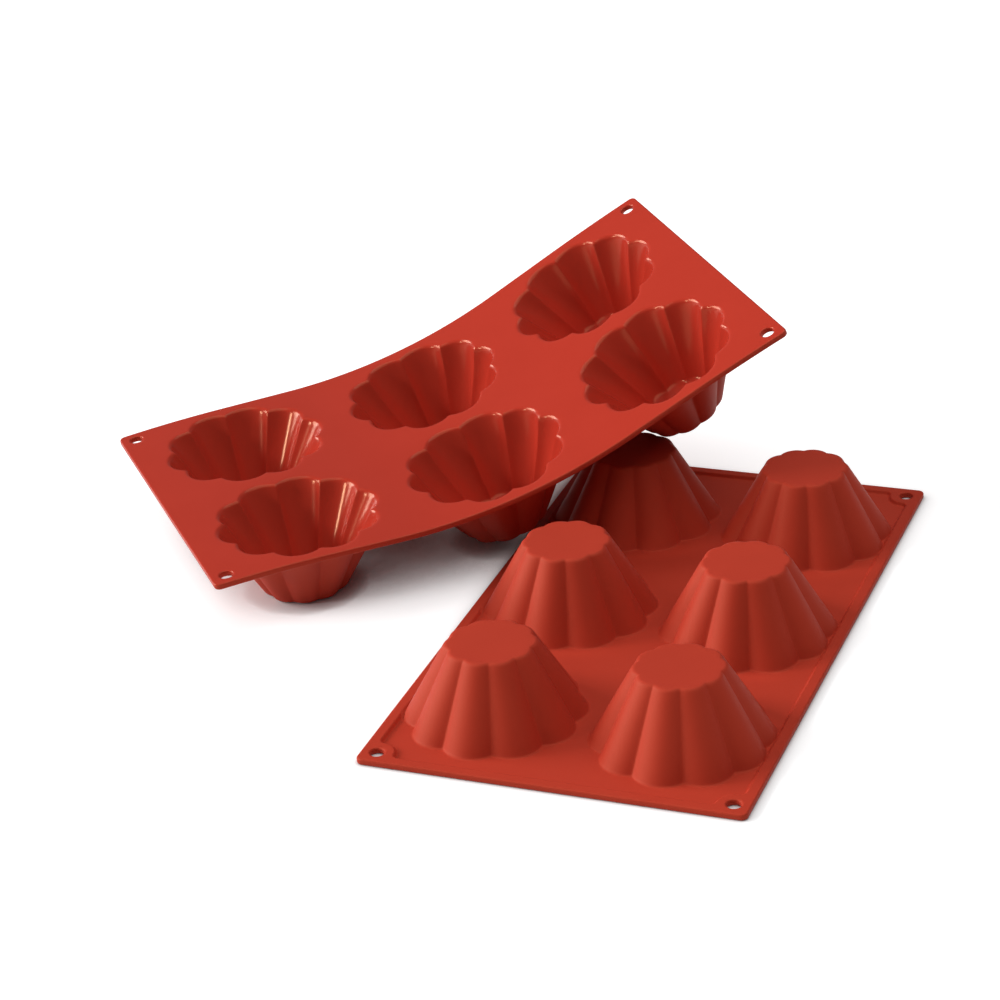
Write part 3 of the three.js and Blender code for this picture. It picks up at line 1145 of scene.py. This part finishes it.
@dataclass
class Mould:
    """One silicone mould in the frame: the two halves of its sheet, and its cups."""

    name: str
    columns: tuple[str, str, str]
    rows: tuple[str, str]
    placing: Placing
    plan: MouldPlan
    deck: Deck
    cups: Cups
    materials: Sequence[bpy.types.Material]
    pieces: list[bpy.types.Object] = field(default_factory=list)

    def build(self) -> None:
        """Builds every piece of the mould and hides the frame's pieces that they stand in for."""
        for last_half in (False, True):
            self.build_deck(last_half)
        for column in range(len(self.columns)):
            for row in range(len(self.rows)):
                self.build_cup(column, row)

    def build_deck(self, last_half: bool) -> None:
        """Builds one half of the sheet, bent as the sheet lies, with the flex line that it has.

        Args:
            last_half: Whether it is the half furthest along the sheet.
        """
        first, middle, last = self.columns
        drawing = self.deck.draw(last_half)
        placed = self.placing(self.placing.line.bend(drawing.points))
        piece = drawing.to_object(f"{self.name}_{last if last_half else first}_deck", placed, self.materials)
        web = int(last_half)
        along, reach = self.plan.flex_along(web), self.plan.sheet.flex_reach
        ends = np.array([[along - reach, 0, 0], [along + reach, 0, 0]])
        start, end = self.placing(self.placing.line.bend(ends))
        before, after = self.columns[web], self.columns[web + 1]
        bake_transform(piece)
        panels = [f"{self.name}_{panel}_panel" for panel in ((middle, last) if last_half else (first,))]
        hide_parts(f"{self.name}_{before}_{after}_flex_web", *panels)
        self.pieces.append(piece)

    def build_cup(self, column: int, row: int) -> None:
        """Builds one cup, whose mouth follows the bent sheet while its floor keeps its shape.

        Args:
            column: The cup's column.
            row: The cup's row.
        """
        drawing = self.cups.draw(column, row)
        line = self.placing.line
        placed = self.placing(self.cups.bend(drawing.points, column, row, line))
        panel = f"{self.name}_{self.columns[column]}"
        place = f"{panel}_{self.rows[row]}"
        piece = drawing.to_object(f"{place}_cup", placed, self.materials)
        axis = np.tile(np.append(self.plan.cup_middle(column, row), 0.0), (2, 1))
        axis[:, 2] = -self.plan.sheet.edge_height, -self.plan.floor_depth
        start, end = self.placing(self.cups.bend(axis, column, row, line))
        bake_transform(piece)
        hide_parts(f"{place}_cup_wall", f"{place}_cup_floor")
        self.pieces.append(piece)


# --------------------------------------------------------------------------------------------------
# The studio
# --------------------------------------------------------------------------------------------------


@dataclass(frozen=True)
class SoftLamp:
    """A wide lamp far away: its place and width in degrees, and how brightly it lights what faces it."""

    name: str
    bearing: float
    elevation: float
    width: float
    level: float

    def build(self) -> None:
        """Hangs the lamp and points it."""
        light = bpy.data.lights.new(self.name, "SUN")
        light.angle, light.energy = math.radians(self.width), math.pi * self.level
        lamp = bpy.data.objects.new(self.name, light)
        lamp.rotation_euler = Euler((math.radians(90 - self.elevation), 0.0, math.radians(90 + self.bearing)))
        bpy.context.scene.collection.objects.link(lamp)


@dataclass(frozen=True)
class Studio:
    """The white floor, the soft lamps, the dim surroundings and the camera, in metres and degrees."""

    floor_size: float = 60.0
    floor_cells: int = 4
    floor_colour: str = "#DADADA"
    floor_glow: float = 0.6
    # Painted shade on the floor: its white glow is darkened by ambient occlusion, as a painted contact shadow
    # beside the object and painted shade under it.
    contact_shade_reach: float = 0.01
    contact_shade_depth: float = 3.0
    cover_shade_reach: float = 0.08
    cover_shade_dark: float = 0.12
    cover_shade_clear: float = 0.46
    surround_level: float = 0.14
    # The key lamp shapes the flutes, the window lamp gives the polished cups their streaks and dots of light,
    # and the top lamp lights what lies flat.
    lamps: tuple[SoftLamp, ...] = (
        SoftLamp("key_lamp", bearing=-175.0, elevation=23.0, width=32.0, level=0.89),
        SoftLamp("window_lamp", bearing=-142.0, elevation=21.0, width=7.5, level=0.22),
        SoftLamp("top_lamp", bearing=20.0, elevation=82.0, width=70.0, level=0.48),
    )
    camera_place: tuple[float, float, float] = (0.40991, -1.13284, 0.67766)
    camera_turn: tuple[float, float, float] = (63.074399, 4.066541, 21.08275)
    lens_mm: float = 108.08798
    sensor_mm: float = 36.0

    def build(self) -> None:
        """Sets up everything round the object."""
        bpy.context.scene.view_settings.view_transform = "Standard"
        self.build_floor()
        self.build_world()
        for lamp in self.lamps:
            lamp.build()
        self.build_camera()

    def build_floor(self) -> None:
        """Lays the floor: white paper that keeps a share of the object's shadow, with painted shade near and
        under the object.
        """
        mesh = bpy.data.meshes.new("studio_floor")
        grid = bmesh.new()
        cells = self.floor_cells
        bmesh.ops.create_grid(grid, x_segments=cells, y_segments=cells, size=self.floor_size / 2)
        grid.to_mesh(mesh)
        grid.free()
        mesh.materials.append(self.floor_paper())
        floor = bpy.data.objects.new("studio_floor", mesh)
        bpy.context.scene.collection.objects.link(floor)

    def floor_paper(self) -> bpy.types.Material:
        """Makes the floor's pale paper, white to the eye where it is open, with painted shade that dims its
        glow beside and under the object.

        Returns:
            The new material.
        """
        material = bpy.data.materials.new("pale_paper_with_painted_shade")
        material.use_nodes = True
        tree = material.node_tree
        tree.nodes.clear()
        rays = add_node(tree, "ShaderNodeLightPath", {}, {}).outputs
        gloss = add_node(
            tree,
            "ShaderNodeMath",
            {"operation": "MAXIMUM"},
            {0: rays["Is Glossy Ray"], 1: rays["Is Transmission Ray"]},
        )
        seen = add_node(
            tree, "ShaderNodeMath", {"operation": "MAXIMUM"}, {0: rays["Is Camera Ray"], 1: gloss.outputs[0]}
        )
        # Painted shade: ambient occlusion dims the glow, as a painted contact shadow right beside the object
        # and painted shade beneath it.
        contact_occlusion = add_node(tree, "ShaderNodeAmbientOcclusion", {}, {"Distance": self.contact_shade_reach})
        painted_contact_shade = add_node(
            tree, "ShaderNodeMath", {"operation": "POWER"}, {0: contact_occlusion.outputs["AO"], 1: self.contact_shade_depth}
        )
        cover_occlusion = add_node(tree, "ShaderNodeAmbientOcclusion", {}, {"Distance": self.cover_shade_reach})
        painted_cover_shade = add_node(
            tree,
            "ShaderNodeMapRange",
            {"interpolation_type": "SMOOTHSTEP"},
            {
                "Value": cover_occlusion.outputs["AO"],
                "From Min": self.cover_shade_dark,
                "From Max": self.cover_shade_clear,
                "To Max": self.floor_glow,
            },
        )
        level = add_node(
            tree, "ShaderNodeMath", {"operation": "MULTIPLY"}, {0: painted_contact_shade.outputs[0], 1: painted_cover_shade.outputs[0]}
        )
        glow = add_node(
            tree, "ShaderNodeMath", {"operation": "MULTIPLY"}, {0: level.outputs[0], 1: seen.outputs[0]}
        )
        white = add_node(
            tree, "ShaderNodeEmission", {}, {"Color": linear(WHITE), "Strength": glow.outputs[0]}
        )
        paper = add_node(tree, "ShaderNodeBsdfDiffuse", {}, {"Color": linear(self.floor_colour)})
        lit = add_node(tree, "ShaderNodeAddShader", {}, {0: paper.outputs[0], 1: white.outputs[0]})
        add_node(tree, "ShaderNodeOutputMaterial", {}, {"Surface": lit.outputs["Shader"]})
        return material

    def build_world(self) -> None:
        """Surrounds the object with a dim even light."""
        world = bpy.data.worlds.new("dim_surround")
        bpy.context.scene.world = world
        world.use_nodes = True
        tree = world.node_tree
        tree.nodes.clear()
        surround = add_node(
            tree, "ShaderNodeBackground", {}, {"Color": linear(WHITE), "Strength": self.surround_level}
        )
        add_node(tree, "ShaderNodeOutputWorld", {}, {"Surface": surround.outputs["Background"]})

    def build_camera(self) -> None:
        """Puts the camera where the photograph was taken from."""
        data = bpy.data.cameras.new("photo_camera")
        data.lens, data.sensor_width = self.lens_mm, self.sensor_mm
        camera = bpy.data.objects.new("photo_camera", data)
        camera.location = self.camera_place
        camera.rotation_euler = Euler([math.radians(angle) for angle in self.camera_turn])
        bpy.context.scene.collection.objects.link(camera)
        bpy.context.scene.camera = camera


def main() -> None:
    """Builds both moulds and the studio."""
    logging.basicConfig(level=logging.INFO, format="%(name)s: %(message)s")
    plan = MouldPlan()
    edge = SheetEdge(plan)
    cups = Cups(plan, edge)
    deck = Deck(plan, edge, cups)
    materials = [POLISHED_FACE.material(), SATIN_FACE.material()]
    lower, upper = Placing.upside_down(plan), Placing.leaning(plan, Lean())
    shared = (plan, deck, cups, materials)
    moulds = [
        Mould("lower", ("back", "middle", "front"), ("left", "right"), lower, *shared),
        Mould("upper", ("standing", "middle", "raised"), ("far", "near"), upper, *shared),
    ]
    for mould in moulds:
        mould.build()
        for piece in mould.pieces:
            LOG.info("built %s with %d faces", piece.name, len(piece.data.polygons))
    Studio().build()
    LOG.info("set up the studio")


if __name__ == "__main__":
    main()
